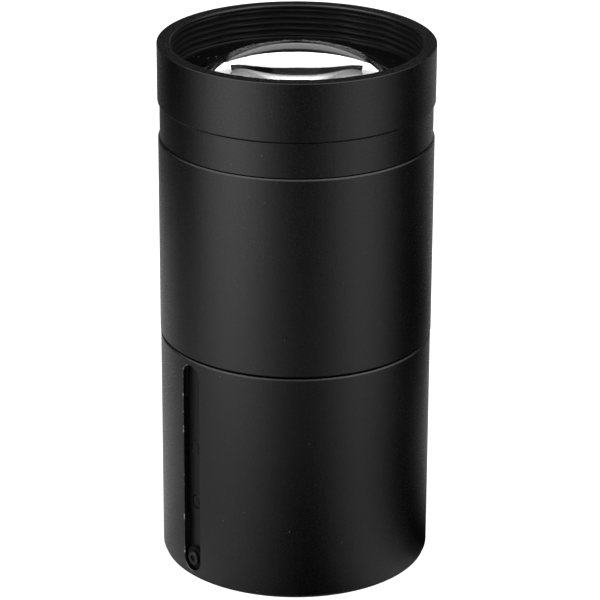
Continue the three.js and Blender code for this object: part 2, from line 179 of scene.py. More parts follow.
def revolve(name, outline, sides=SIDES):
    """Closed outline turned about Z. A radius may be a function of the angle."""
    verts, rings = [], []
    for radius, level in outline:
        first = len(verts)
        if not callable(radius) and radius < ON_AXIS:
            verts.append((0, 0, level))
            rings.append([first] * sides)
            continue
        for k in range(sides):
            angle = TAU * k / sides
            r = radius(angle) if callable(radius) else radius
            verts.append((r * math.cos(angle), r * math.sin(angle), level))
        rings.append(list(range(first, first + sides)))
    faces = []
    for i, ring in enumerate(rings):
        upper = rings[(i + 1) % len(rings)]
        for k in range(sides):
            n = (k + 1) % sides
            face = list(dict.fromkeys((ring[k], ring[n], upper[n], upper[k])))
            if len(face) > 2:
                faces.append(face)
    return solid(name, verts, faces)


def turned(name, corners, sides=SIDES):
    return revolve(name, fillet(corners), sides)


def aim(obj, level, towards=-1):
    """Lays a piece that was turned about Z along Y, pointing out of the loupe."""
    turn = Matrix.Rotation(-towards * math.pi / 2, 4, "X")
    obj.data.transform(Matrix.Translation((0, 0, level * MM)) @ turn)
    return obj


def hexagon(across_corners):
    """Radius of a hexagon at an angle, with its corners on columns."""
    flat = across_corners / 2 * math.cos(math.pi / 6)
    return lambda angle: flat / math.cos((angle % (TAU / 6)) - TAU / 12)


def thread_rows(low, high, crest, depth, pitch, lead, rows_per_pitch=14):
    """Rows of a right-handed thread, with its groove cut from the crest radius."""
    count = round((high - low) / pitch * rows_per_pitch)

    def row(level):
        def radius(angle):
            phase = ((level - lead * angle / TAU) / pitch) % 1
            groove = min(max(THREAD_STEEPNESS * (1 - abs(2 * phase - 1)) - THREAD_LAND, 0), 1)
            fade = THREAD_RUN_OUT * pitch
            ease = min(1, (high - level) / fade, (level - low) / fade)
            return crest + depth * groove * max(ease, 0)
        return radius

    levels = [low + (high - low) * i / count for i in range(count + 1)]
    return [(row(level), level) for level in levels]


def stadium(width, bottom, top, grow, arc_steps=24, side_steps=12):
    """Points (x, z) of an upright slot with round ends, grown by a margin."""
    r = width / 2
    ends = [(top - r, 0), (bottom + r, math.pi)]
    points = []
    for centre, first in ends:
        for k in range(arc_steps + 1):
            angle = first + math.pi * k / arc_steps
            points.append(((r + grow) * math.cos(angle), centre + (r + grow) * math.sin(angle)))
        sign = -1 if first == 0 else 1
        for k in range(1, side_steps):
            t = k / side_steps if first == 0 else 1 - k / side_steps
            points.append((sign * (r + grow), top - r + (bottom - top + 2 * r) * t))
    return points


def slot_cutter(name, layers, width):
    """Cutter whose layers follow the barrel's curve: each is a radius and a margin."""
    verts, faces = [], []
    loops = [stadium(width, SLOT_BOTTOM, SLOT_TOP, grow) for _, grow in layers]
    count = len(loops[0])
    for (radius, _), loop in zip(layers, loops):
        verts += [(x, -math.sqrt(radius * radius - x * x), z) for x, z in loop]
    for i in range(len(layers) - 1):
        for k in range(count):
            n = (k + 1) % count
            faces.append((i * count + k, i * count + n, (i + 1) * count + n, (i + 1) * count + k))
    faces.append(range(count))
    faces.append(range((len(layers) - 1) * count, len(layers) * count))
    return solid(name, verts, faces)


def carve(obj, *tools):
    """Cuts each tool out of a piece for good, and removes the tools."""
    for tool in tools:
        mod = obj.modifiers.new("carve", "BOOLEAN")
        mod.operation = "DIFFERENCE"
        mod.solver = "EXACT"
        mod.object = tool
        bpy.context.view_layer.update()
        cut = obj.evaluated_get(bpy.context.evaluated_depsgraph_get())
        mesh = bpy.data.meshes.new_from_object(cut)
        obj.modifiers.clear()
        obj.data = mesh
    for tool in tools:
        bpy.data.objects.remove(tool)
    tidy(obj.data)
    return obj


def block(name, xs, ys, zs):
    """Box between two values along each axis."""
    return solid(name, [(x, y, z) for z in zs for y in ys for x in xs], BLOCK_FACES)


def peg(radius, start, end, level, towards=-1, flare=0.0):
    """Round cutter along Y between two distances from the axis, with a countersunk mouth."""
    corners = [(0, start), (radius, start), (radius, end - flare), (radius + flare, end),
               (radius + flare, end + 1), (0, end + 1)]
    return aim(revolve("peg", corners, SCREW_SIDES), level, towards)


def lens_arc(apex, curve, rim, bend, steps=LENS_STEPS):
    """Points of a spherical surface from the axis to the rim."""
    spread = math.asin(rim / curve)
    points = []
    for k in range(steps + 1):
        angle = spread * k / steps
        points.append((curve * math.sin(angle), apex - bend * curve * (1 - math.cos(angle))))
    return points


# ---- Materials ----

def socket_value(shader, values):
    for key, value in values.items():
        shader.inputs[key].default_value = value


def link(tree, out_node, out_name, in_node, in_name):
    tree.links.new(out_node.outputs[out_name], in_node.inputs[in_name])


def noise(tree, coords, scale, detail=3.0, rough=0.6):
    node = tree.nodes.new("ShaderNodeTexNoise")
    node.inputs["Scale"].default_value = scale
    node.inputs["Detail"].default_value = detail
    node.inputs["Roughness"].default_value = rough
    tree.links.new(coords, node.inputs["Vector"])
    return node


def spread_to(tree, node, output, low, high, out_low, out_high):
    """Maps a texture's value from one range to another."""
    remap = tree.nodes.new("ShaderNodeMapRange")
    for key, value in zip(("From Min", "From Max", "To Min", "To Max"),
                          (low, high, out_low, out_high)):
        remap.inputs[key].default_value = value
    link(tree, node, output, remap, "Value")
    return remap


def finish(name, colours, roughness, grain, bump, cloud=60.0, metallic=0.0, specular=0.5,
           stretch=(1, 1, 1), grit=0.09, dust_and_glints=0.0, dust_and_glint_colour=(0.12, 0.12, 0.12, 1),
           dust_and_glint_scale=1500.0, dust_and_glint_size=0.2, extra=None):
    """Opaque material: fine grain, slow clouding of the sheen, and sparse lighter specks: faint ones are
    dust, bright ones are painted glints.
    """
    made = bpy.data.materials.new(name)
    made.use_nodes = True
    tree = made.node_tree
    shader = tree.nodes["Principled BSDF"]
    place = tree.nodes.new("ShaderNodeTexCoord")
    scaled = tree.nodes.new("ShaderNodeMapping")
    scaled.inputs["Scale"].default_value = stretch
    link(tree, place, "Object", scaled, "Vector")
    fine = noise(tree, scaled.outputs["Vector"], grain, 4.0, 0.65)
    slow = noise(tree, place.outputs["Object"], cloud, 3.0, 0.5)

    ramp = tree.nodes.new("ShaderNodeValToRGB")
    ramp.color_ramp.elements[0].position = 0.3
    ramp.color_ramp.elements[1].position = 0.72
    for element, tone in zip(ramp.color_ramp.elements, colours):
        element.color = (*tone, 1)
    link(tree, fine, "Fac", ramp, "Fac")

    both = tree.nodes.new("ShaderNodeMath")
    both.operation = "ADD"
    fine_rough = spread_to(tree, fine, "Fac", 0.3, 0.7, -grit, grit)
    slow_rough = spread_to(tree, slow, "Fac", 0.3, 0.7, *roughness)
    tree.links.new(fine_rough.outputs["Result"], both.inputs[0])
    tree.links.new(slow_rough.outputs["Result"], both.inputs[1])

    colour = ramp.outputs["Color"]
    # Sparse lighter specks: faint ones are dust, bright ones are painted glints.
    if dust_and_glints:
        cells = tree.nodes.new("ShaderNodeTexVoronoi")
        cells.inputs["Scale"].default_value = dust_and_glint_scale
        link(tree, place, "Object", cells, "Vector")
        pick = tree.nodes.new("ShaderNodeSeparateColor")
        link(tree, cells, "Color", pick, "Color")
        chosen = spread_to(tree, pick, "Red", 1 - dust_and_glints, 1 - dust_and_glints * 0.5, 0.0, 1.0)
        small = spread_to(tree, cells, "Distance", 0.3 * dust_and_glint_size, dust_and_glint_size, 1.0, 0.0)
        mask = tree.nodes.new("ShaderNodeMath")
        mask.operation = "MULTIPLY"
        tree.links.new(chosen.outputs["Result"], mask.inputs[0])
        tree.links.new(small.outputs["Result"], mask.inputs[1])
        mix = tree.nodes.new("ShaderNodeMix")
        mix.data_type = "RGBA"
        mix.inputs[7].default_value = dust_and_glint_colour
        tree.links.new(mask.outputs["Value"], mix.inputs[0])
        tree.links.new(colour, mix.inputs[6])
        colour = mix.outputs[2]

    relief = tree.nodes.new("ShaderNodeBump")
    relief.inputs["Strength"].default_value = bump[0]
    relief.inputs["Distance"].default_value = bump[1] * MM
    link(tree, fine, "Fac", relief, "Height")
    tree.links.new(colour, shader.inputs["Base Color"])
    tree.links.new(both.outputs["Value"], shader.inputs["Roughness"])
    link(tree, relief, "Normal", shader, "Normal")
    socket_value(shader, {"Metallic": metallic, "Specular IOR Level": specular, **(extra or {})})
    return made


def glass(name, tint, index):
    """Clear polished glass, with a faint film that varies the polish."""
    made = bpy.data.materials.new(name)
    made.use_nodes = True
    tree = made.node_tree
    shader = tree.nodes["Principled BSDF"]
    place = tree.nodes.new("ShaderNodeTexCoord")
    film = noise(tree, place.outputs["Object"], 90.0, 3.0, 0.6)
    polish = spread_to(tree, film, "Fac", 0.45, 0.8, 0.0, 0.004)
    tree.links.new(polish.outputs["Result"], shader.inputs["Roughness"])
    ramp = tree.nodes.new("ShaderNodeValToRGB")
    ramp.color_ramp.elements[0].color = (*tint, 1)
    ramp.color_ramp.elements[1].color = (1, 1, 1, 1)
    link(tree, film, "Fac", ramp, "Fac")
    link(tree, ramp, "Color", shader, "Base Color")
    socket_value(shader, {"Transmission Weight": 1.0, "IOR": index})
    return made


anodised = finish("satin black anodising", ((0.0003,) * 3, (0.0022,) * 3), (0.2, 0.26), 3800.0,
                  (1.0, 0.06), specular=0.5, dust_and_glints=0.01)
tube_finish = finish("drawn black tube", ((0.001,) * 3, (0.004,) * 3), (0.34, 0.42), 2600.0,
                     (0.3, 0.03), stretch=(1, 1, 0.05), specular=0.3, dust_and_glints=0.01)
inner_black = finish("matt inner black", ((0.0015,) * 3, (0.0045,) * 3), (0.62, 0.75), 3000.0,
                     (0.5, 0.04), specular=0.3)
# Grained black paint: its bright specks are painted glints.
grained_with_painted_glints = finish("grained black paint", ((0.0003,) * 3, (0.002,) * 3), (0.7, 0.85), 2000.0,
                 (1.0, 0.16), specular=0.06, dust_and_glints=0.1, dust_and_glint_colour=(0.7, 0.7, 0.7, 1),
                 dust_and_glint_scale=1400.0)
black_steel = finish("black oxide steel", ((0.001,) * 3, (0.004,) * 3), (0.34, 0.42), 4200.0,
                     (0.25, 0.02), specular=0.3, dust_and_glints=0.02)
nylon = finish("black nylon", ((0.001,) * 3, (0.003,) * 3), (0.5, 0.6), 1800.0, (0.25, 0.03),
               specular=0.12)
# Worn anodising on the slot's chamfer: its lighter tone is partly wear and partly painted highlight, and
# its bright specks are painted glints.
worn_edge_with_painted_glints = finish("worn anodised edge with painted glints", ((0.006,) * 3, (0.03,) * 3), (0.25, 0.4), 2600.0,
                   (0.6, 0.04), dust_and_glints=0.5, dust_and_glint_colour=(0.45, 0.45, 0.45, 1), dust_and_glint_scale=900.0,
                   dust_and_glint_size=0.5)
felt = finish("black felt", ((0.0006,) * 3, (0.004,) * 3), (0.85, 0.95), 6000.0, (1.0, 0.25),
              specular=0.05, extra={"Sheen Weight": 0.03, "Sheen Roughness": 0.6})
rubber = finish("black rubber", ((0.006,) * 3, (0.014,) * 3), (0.6, 0.72), 3600.0, (0.4, 0.04),
                specular=0.3)
clear = glass("crown glass", (0.985, 0.99, 0.99), 1.52)
dense = glass("flint glass", (0.985, 0.99, 0.985), 1.62)
thread_black = finish("matt black thread", ((0.003,) * 3, (0.011,) * 3), (0.36, 0.44), 3200.0,
                      (0.6, 0.04), specular=0.12)
edge_black = finish("lens edge black", ((0.001,) * 3, (0.003,) * 3), (0.6, 0.7), 2500.0,
                    (0.4, 0.03), specular=0.2)


# ---- Pieces ----

def paint(obj, material, chosen):
    """Gives a second material to the faces that are chosen."""
    obj.data.materials.append(material)
    for face in obj.data.polygons:
        if chosen(face):
            face.material_index = 1


def blacken_edge(lens):
    """Paints a lens's ground edge black, leaving its polished faces clear."""
    paint(lens, edge_black, lambda face: abs(face.normal.z) < EDGE_NORMAL)


def is_slot_edge(face, barrel_r):
    """Whether a face is on the chamfer round the guide slot's mouth."""
    x, y, z = face.center / MM
    slant = (face.normal.x * x + face.normal.y * y) / math.hypot(x, y)
    near = abs(x) < SLOT_W / 2 + SLOT_CHAMFER and y < 0 and z < SLOT_TOP + SLOT_CHAMFER
    sunk = barrel_r - math.hypot(x, y)
    return near and GAP / 2 < sunk < SLOT_CHAMFER and abs(slant) < 0.95 and z > SLOT_BOTTOM - 1


def is_bore(face, top):
    """Whether a face of the eyepiece ring is inside its bore, below the rim."""
    x, y, z = face.center / MM
    return math.hypot(x, y) < ROOT_R + GAP and z < top - EDGE


def dress(obj, node, body, material):
    """Gives a piece its material, and has it stand for its CAD node on that body."""
    obj.data.materials.clear()
    obj.data.materials.append(material)
    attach(obj, body)
    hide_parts(node)
    return obj


def make_base():
    r, low, high = reach("lower_barrel")
    recess = LINER_OUT + GAP
    corners = [(LOWER_BORE, low), (r - EDGE, low, SOFT), (r, low + EDGE, SOFT),
               (r, high - EDGE, SOFT), (r - EDGE, high, SOFT), (LOWER_BORE, high, SOFT)]
    for node in ("felt_liner_upper", "felt_liner_lower"):
        _, bottom, top = reach(node)
        corners += [(LOWER_BORE, top + GAP), (recess, top + GAP),
                    (recess, bottom - GAP), (LOWER_BORE, bottom - GAP)]
    layers = [(r + 0.8, SLOT_CHAMFER + 0.8), (r, SLOT_CHAMFER), (r - SLOT_CHAMFER, 0),
              (LOWER_BORE - 1, 0)]
    barrel = carve(turned("fine_lower_barrel", corners), slot_cutter("cutter", layers, SLOT_W))
    dress(barrel, "lower_barrel", "base", anodised)
    # The slot's chamfer gets the worn edge with its painted highlight and glints.
    paint(barrel, worn_edge_with_painted_glints, lambda face: is_slot_edge(face, r))

    for node in ("felt_liner_upper", "felt_liner_lower"):
        _, bottom, top = reach(node)
        band = turned("fine_" + node, [(LINER_IN, bottom, SOFT), (LINER_OUT, bottom),
                                       (LINER_OUT, top), (LINER_IN, top, SOFT)])
        through = slot_cutter("cutter", [(LINER_OUT + 1, 0), (LINER_IN - 1, 0)], SLOT_W + LINER_SLOT_MARGIN)
        dress(carve(band, through), node, "base", felt)

    r, low, high = reach("base_ring")
    foot = turned("fine_base_ring", [(TUBE_BORE, low, 0.1), (r, low, 0.14), (r, high, 0.05),
                                     (TUBE_BORE, high, 0.05)])
    dress(foot, "base_ring", "base", rubber)


def make_inner_tube():
    head_r, low, high = reach("inner_tube")
    step = reach("upper_barrel")[1] + TUBE_STEP
    tube = turned("fine_inner_tube", [
        (TUBE_BORE, low, 0.1), (TUBE_R, low, 0.15), (TUBE_R, step), (head_r, step),
        (head_r, high, 0.1), (TUBE_BORE, high, 0.1)])
    inside = TUBE_BORE - PAST_WALL
    tools = [peg(GUIDE_HOLE_R, inside, TUBE_R, middle("guide_screw"))]
    for node in ("set_screw_lower", "set_screw_upper"):
        tools.append(peg(SET_HOLE_R, inside, TUBE_R, middle(node), flare=HOLE_FLARE))
    key = middle("cell_key_screw")
    tools.append(peg(SET_HOLE_R, inside, head_r, key, 1))
    tools.append(peg(KEY_SEAT_R, head_r - KEY_SEAT_DEPTH, head_r + 1, key, 1))
    dress(carve(tube, *tools), "inner_tube", "draw_tube", tube_finish)


def middle(node):
    """Level of a screw's axis, in millimetres."""
    low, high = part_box(node)
    return (low.z + high.z) / 2 / MM


def screw(name, node, shank, head, level, socket_size, socket_depth, body_name, towards=-1):
    """Round screw with a hexagonal socket. shank is (radius, tip) and head (radius, seat, face)."""
    radius, tip = shank
    head_r, seat, face = head
    key = hexagon(socket_size)
    lip = socket_size / 2 + SOCKET_LIP
    floor = face - socket_depth
    corners = [(0, floor - TIP_BEVEL), (key, floor), (key, face - SOCKET_LIP), (lip, face),
               (head_r - SCREW_BEVEL, face, 0.04), (head_r, face - SCREW_BEVEL, 0.04)]
    if head_r > radius:
        corners += [(head_r, seat), (radius, seat)]
    corners += [(radius, tip + TIP_BEVEL, 0.05), (radius - TIP_BEVEL, tip), (0, tip)]
    made = aim(revolve(name, fillet(corners), SCREW_SIDES), level, towards)
    dress(made, node, body_name, black_steel)


def make_screws():
    screw("fine_guide_screw", "guide_screw", (GUIDE_SHANK_R, TUBE_BORE + 0.1), GUIDE_HEAD,
          middle("guide_screw"), GUIDE_SOCKET, GUIDE_SOCKET_DEPTH, "draw_tube")
    for node in ("set_screw_lower", "set_screw_upper"):
        screw("fine_" + node, node, (SET_SCREW_R, TUBE_BORE - 0.05),
              (SET_SCREW_R, 0, TUBE_R - SET_SCREW_SUNK), middle(node), SET_SOCKET,
              FILLED_SOCKET, "draw_tube")
    head_r = reach("inner_tube")[0]
    screw("fine_cell_key_screw", "cell_key_screw", (KEY_SCREW_R, KEY_TIP),
          (KEY_HEAD_R, head_r - 1, head_r - 0.15), middle("cell_key_screw"), KEY_SOCKET,
          KEY_SOCKET_DEPTH, "draw_tube", 1)
    bush = revolve("fine_guide_bush", fillet([
        (GUIDE_HOLE_R, BUSH_IN), (BUSH_R, BUSH_IN, 0.06), (BUSH_R, BUSH_OUT, 0.05),
        (GUIDE_HOLE_R, BUSH_OUT, 0.04)]), SCREW_SIDES)
    dress(aim(bush, middle("guide_bush")), "guide_bush", "draw_tube", nylon)


def make_draw_tube():
    r, low, high = reach("upper_barrel")
    shoulder = BARREL_SHOULDER
    corners = [(HEAD_BORE, low, SOFT), (r - EDGE, low, SOFT), (r, low + EDGE, SOFT),
               (r, high - EDGE, SOFT), (r - EDGE, high, SOFT), (THREAD_BORE, high, 0.15),
               (THREAD_BORE, shoulder), (HEAD_BORE, shoulder)]
    dress(turned("fine_upper_barrel", corners), "upper_barrel", "draw_tube",
          anodised)
    make_inner_tube()
    make_screws()
    for node in ("baffle_lower", "baffle_upper"):
        r, low, high = reach(node)
        knife = (low + high) / 2
        rim = r - BAFFLE_RIM_T
        ring = turned("fine_" + node, [(r, low), (r, high), (rim, high, 0.05),
                                       (KNIFE_R, knife, 0.04), (rim, low, 0.05)])
        dress(ring, node, "draw_tube", inner_black)


def make_optics():
    flange_r, low, top = reach("lens_cell")
    cell = turned("fine_lens_cell", [
        (CELL_BORE, low, 0.1), (CELL_R, low, 0.15), (CELL_R, FLANGE), (flange_r, FLANGE, 0.05),
        (flange_r, top, 0.1), (CELL_BORE, top, 0.1), (CELL_BORE, SEAT_HIGH),
        (SEAT_R, SEAT_HIGH, 0.05), (SEAT_R, SEAT_LOW, 0.05), (CELL_BORE, SEAT_LOW)])
    keyway = block("keyway", (-KEYWAY_HALF, KEYWAY_HALF), (23, 28),
                   (low - 1, middle("cell_key_screw") + KEYWAY_ABOVE))
    dress(carve(cell, keyway), "lens_cell", "optics", inner_black)

    lens_r, _, apex = reach("front_crown_lens")
    front = lens_arc(apex, FRONT_CURVE, lens_r, 1)
    back = lens_arc(apex - CROWN_T, CEMENT_CURVE, lens_r, -1)
    blacken_edge(dress(revolve("fine_front_crown_lens", front + back[::-1]), "front_crown_lens",
                       "optics", clear))
    hollow = lens_arc(apex - CROWN_T + CEMENT, CEMENT_CURVE, lens_r - GAP, -1)
    flat = apex - CROWN_T - GAP - FLINT_T
    rim = lens_r - GAP
    blacken_edge(dress(revolve("fine_front_flint_lens", hollow + [(rim, flat), (0, flat)]),
                       "front_flint_lens", "optics", dense))
    _, rear_low, rear_high = reach("rear_lens")
    dome = lens_arc(rear_low, REAR_CURVE, lens_r, -1)
    blacken_edge(dress(revolve("fine_rear_lens", [(0, rear_high), (lens_r, rear_high)] + dome[::-1]),
                       "rear_lens", "optics", clear))

    r, low, high = reach("lens_spacer")
    inner = r - SPACER_T
    ribs = []
    for k in range(SPACER_RIBS):
        bottom = high - (high - low) * k / SPACER_RIBS
        ribs += [(inner, bottom),
                 (inner + RIB_DEPTH, bottom - (high - low) / SPACER_RIBS + RIB_LAND)]
    dress(turned("fine_lens_spacer", [(r, low), (r, high)] + ribs), "lens_spacer", "optics",
          inner_black)

    r, low, high = reach("lens_retaining_ring")
    seat = reach("lens_cell")[2] + RETAINER_SEAT
    ring = turned("fine_lens_retaining_ring", [
        (RETAINER_BORE, high - RETAINER_LIP), (RETAINER_BORE + RETAINER_SLOPE, high, 0.06),
        (r, high, 0.1), (r, seat), (CELL_BORE - GAP, seat), (CELL_BORE - GAP, low)])
    dress(ring, "lens_retaining_ring", "optics", grained_with_painted_glints)

    r, low, high = reach("thrust_washer")
    bore = CELL_R + WASHER_GAP
    washer = turned("fine_thrust_washer", [(bore, low, 0.03), (r, low, 0.03),
                                           (r, high, 0.03), (bore, high, 0.03)])
    dress(washer, "thrust_washer", "optics", nylon)


def make_eyepiece():
    r, low, top = reach("eyepiece_ring")
    shoulder = reach("lens_retaining_ring")[2] - THREAD_SHOULDER
    thread_end = THREAD_TOP - THREAD_TURNS * THREAD_PITCH
    rows = thread_rows(thread_end, THREAD_TOP, CREST_R, ROOT_R - CREST_R, THREAD_PITCH,
                       THREAD_PITCH)
    corners = [(SPIGOT_R + GAP, low), (r - EDGE, low, SOFT), (r, low + EDGE, SOFT),
               (r, top - RIM_EDGE, RIM_EDGE / 3), (r - RIM_EDGE, top, RIM_EDGE / 3),
               (RIM_BORE + MOUTH_EDGE, top, SOFT), (RIM_BORE, top - MOUTH_EDGE, SOFT)]
    outline = fillet(corners) + rows[::-1] + [(CREST_R, shoulder), (SPIGOT_R + GAP, shoulder)]
    ring = dress(revolve("fine_eyepiece_ring", outline), "eyepiece_ring", "eyepiece",
                 anodised)
    paint(ring, thread_black, lambda face: is_bore(face, top))

    neck_r, low, spigot_top = reach("focus_sleeve")
    ring_bottom = reach("eyepiece_ring")[1]
    barrel_top = reach("upper_barrel")[2]
    neck_low, neck_high = barrel_top + NECK_GAP, ring_bottom - NECK_GAP
    groove = reach("stop_ring")[0] - STOP_GROOVE
    stop_low, stop_high = reach("stop_ring")[1] - GAP, reach("stop_ring")[2] + GAP
    pitch = FOCUS_LEAD / FOCUS_STARTS
    rows = thread_rows(neck_low - FOCUS_THREAD[0], neck_low - FOCUS_THREAD[1], SLEEVE_THREAD_R,
                       FOCUS_DEPTH, pitch, FOCUS_LEAD)
    outline = fillet([
        (SLEEVE_BORE, low, 0.1), (SLEEVE_THREAD_R, low, 0.1), (SLEEVE_THREAD_R, stop_low),
        (groove, stop_low), (groove, stop_high), (SLEEVE_THREAD_R, stop_high)])
    outline += rows
    outline += [(SLEEVE_THREAD_R, neck_low)]
    rest = fillet([(SLEEVE_THREAD_R, neck_low - 1), (neck_r - NECK_EDGE, neck_low, 0.04),
                   (neck_r, neck_low + NECK_EDGE, 0.04), (neck_r, neck_high - NECK_EDGE, 0.04),
                   (neck_r - NECK_EDGE, neck_high, 0.04), (SPIGOT_R, neck_high),
                   (SPIGOT_R, spigot_top), (SLEEVE_BORE, spigot_top)])
    outline += rest[1:]
    dress(revolve("fine_focus_sleeve", outline), "focus_sleeve", "eyepiece",
          anodised)

    r, low, high = reach("stop_ring")
    inner = r - STOP_RING_T
    ring = turned("fine_stop_ring", [(inner, low, 0.05), (r, low, 0.08), (r, high, 0.08),
                                     (inner, high, 0.05)])
    gap = block("gap", (-STOP_SPLIT_HALF, STOP_SPLIT_HALF), (25, 31), (low - 1, high + 1))
    dress(carve(ring, gap), "stop_ring", "eyepiece", black_steel)


make_base()
make_draw_tube()
make_optics()
make_eyepiece()


# ---- Camera ----
CAMERA_AZIMUTH = math.radians(49.9)
CAMERA_DISTANCE = 0.62495
CAMERA_HEIGHT = 0.3107
CAMERA_YAW, CAMERA_PITCH, CAMERA_ROLL = 0.0015, 0.3837, 0.0048
CAMERA_LENS = 183.08
SENSOR = 36.0
RAMP_STEPS = 31        # a colour ramp holds one more point than this

to_camera = Vector((math.sin(CAMERA_AZIMUTH), -math.cos(CAMERA_AZIMUTH), 0))
to_right = Vector((math.cos(CAMERA_AZIMUTH), math.sin(CAMERA_AZIMUTH), 0))


def place_camera():
    data = bpy.data.cameras.new("camera")
    data.lens = CAMERA_LENS
    data.sensor_width = SENSOR
    cam = bpy.data.objects.new("camera", data)
    bpy.context.scene.collection.objects.link(cam)
    flat = math.cos(CAMERA_PITCH)
    ahead = Vector((math.sin(CAMERA_YAW) * flat, math.cos(CAMERA_YAW) * flat,
                    -math.sin(CAMERA_PITCH)))
    right = Vector((math.cos(CAMERA_YAW), -math.sin(CAMERA_YAW), 0))
    up = right.cross(ahead)
    c, s = math.cos(CAMERA_ROLL), math.sin(CAMERA_ROLL)
    axis_x, axis_y = c * right + s * up, c * up - s * right
    spin = Matrix.Rotation(CAMERA_AZIMUTH, 4, "Z")
    pose = Matrix.Identity(4)
    for i, axis in enumerate((axis_x, axis_y, -ahead)):
        pose.col[i][:3] = axis
    pose.col[3][:3] = (0, -CAMERA_DISTANCE, CAMERA_HEIGHT)
    cam.matrix_world = spin @ pose
    bpy.context.scene.camera = cam


# ---- Studio ----
# Bearings are in degrees round the loupe: 0 is the camera's side, 90 its right, 180 behind.

def light_level(bearing, softboxes):
    """Light from a bearing. Each softbox is (bearing, half width, level) and fades to its edges."""
    level = 0
    for centre, half_width, brightest in softboxes:
        off = abs((bearing - centre + 180) % 360 - 180)
        if off < half_width:
            level += brightest * math.cos(math.pi / 2 * off / half_width) ** 2
    return level


def bearing_ramp(tree, coords, softboxes):
    """Light level by bearing, all round."""
    parts = []
    for axis in (to_right, to_camera):
        dot = tree.nodes.new("ShaderNodeVectorMath")
        dot.operation = "DOT_PRODUCT"
        dot.inputs[1].default_value = axis
        tree.links.new(coords, dot.inputs[0])
        parts.append(dot)
    bearing = tree.nodes.new("ShaderNodeMath")
    bearing.operation = "ARCTAN2"
    for i, dot in enumerate(parts):
        tree.links.new(dot.outputs["Value"], bearing.inputs[i])
    turn = spread_to(tree, bearing, "Value", -math.pi, math.pi, 0.0, 1.0)
    ramp = tree.nodes.new("ShaderNodeValToRGB")
    ramp.color_ramp.interpolation = "EASE"
    elements = ramp.color_ramp.elements
    elements.remove(elements[-1])
    for i in range(RAMP_STEPS + 1):
        at = i / RAMP_STEPS
        level = light_level(360 * at - 180, softboxes)
        element = elements[0] if i == 0 else elements.new(at)
        element.position = at
        element.color = (level, level, level, 1)
    link(tree, turn, "Result", ramp, "Fac")
    return ramp.outputs["Color"]


def blend_colours(tree, share, first, second):
    mix = tree.nodes.new("ShaderNodeMix")
    mix.data_type = "RGBA"
    tree.links.new(share, mix.inputs[0])
    tree.links.new(first, mix.inputs[6])
    tree.links.new(second, mix.inputs[7])
    return mix.outputs[2]


def studio_world(low, high, rise, backdrop):
    """Soft light all round, from the softboxes near the horizon and overhead."""
    world = bpy.data.worlds.new("studio")
    bpy.context.scene.world = world
    world.use_nodes = True
    tree = world.node_tree
    back = tree.nodes["Background"]
    place = tree.nodes.new("ShaderNodeTexCoord").outputs["Generated"]
    up = tree.nodes.new("ShaderNodeSeparateXYZ")
    tree.links.new(place, up.inputs["Vector"])
    share = spread_to(tree, up, "Z", *rise, 0.0, 1.0).outputs["Result"]
    level = blend_colours(tree, share, bearing_ramp(tree, place, low),
                          bearing_ramp(tree, place, high))
    tree.links.new(level, back.inputs["Color"])
    plain = tree.nodes.new("ShaderNodeBackground")
    plain.inputs["Color"].default_value = backdrop
    path = tree.nodes.new("ShaderNodeLightPath")
    choose = tree.nodes.new("ShaderNodeMixShader")
    link(tree, path, "Is Camera Ray", choose, "Fac")
    tree.links.new(back.outputs["Background"], choose.inputs[1])
    tree.links.new(plain.outputs["Background"], choose.inputs[2])
    link(tree, choose, "Shader", tree.nodes["World Output"], "Surface")


def disc(name, radius, level):
    r = radius / MM
    angles = [TAU * k / DISC_SIDES for k in range(DISC_SIDES)]
    verts = [(r * math.cos(angle), r * math.sin(angle), level) for angle in angles]
    made = solid(name, verts, [range(DISC_SIDES)])
    return made


def make_floor(radius, glow, albedo):
    floor = disc("floor", radius, 0)
    made = bpy.data.materials.new("pale floor")
    made.use_nodes = True
    shader = made.node_tree.nodes["Principled BSDF"]
    socket_value(shader, {"Base Color": (albedo, albedo, albedo, 1), "Roughness": 0.9,
                          "Specular IOR Level": 0.1, "Emission Color": (1, 1, 1, 1),
                          "Emission Strength": glow})
    floor.data.materials.append(made)
    floor.visible_glossy = False


def only_reflected(obj):
    """A studio card that shows only as a reflection in something glossy."""
    obj.visible_camera = False
    obj.visible_diffuse = False
    obj.visible_shadow = False
    obj.visible_transmission = False


def make_floor_card(radius, near, middle, near_to_middle, fade):
    """What the lower walls reflect: a lit sheet under the loupe that fades into the studio."""
    card = disc("floor_card", radius, -0.5)
    only_reflected(card)
    made = bpy.data.materials.new("floor card")
    made.use_nodes = True
    tree = made.node_tree
    tree.nodes.remove(tree.nodes["Principled BSDF"])
    place = tree.nodes.new("ShaderNodeTexCoord").outputs["Object"]
    away = tree.nodes.new("ShaderNodeVectorMath")
    away.operation = "LENGTH"
    tree.links.new(place, away.inputs[0])
    share = spread_to(tree, away, "Value", *near_to_middle, 0.0, 1.0).outputs["Result"]
    level = blend_colours(tree, share, bearing_ramp(tree, place, near),
                          bearing_ramp(tree, place, middle))
    glow = tree.nodes.new("ShaderNodeEmission")
    tree.links.new(level, glow.inputs["Color"])
    clear_part = tree.nodes.new("ShaderNodeBsdfTransparent")
    mix = tree.nodes.new("ShaderNodeMixShader")
    gone = spread_to(tree, away, "Value", *fade, 0.0, 1.0)
    link(tree, gone, "Result", mix, "Fac")
    tree.links.new(glow.outputs["Emission"], mix.inputs[1])
    tree.links.new(clear_part.outputs["BSDF"], mix.inputs[2])
    link(tree, mix, "Shader", tree.nodes["Material Output"], "Surface")
    card.data.materials.append(made)


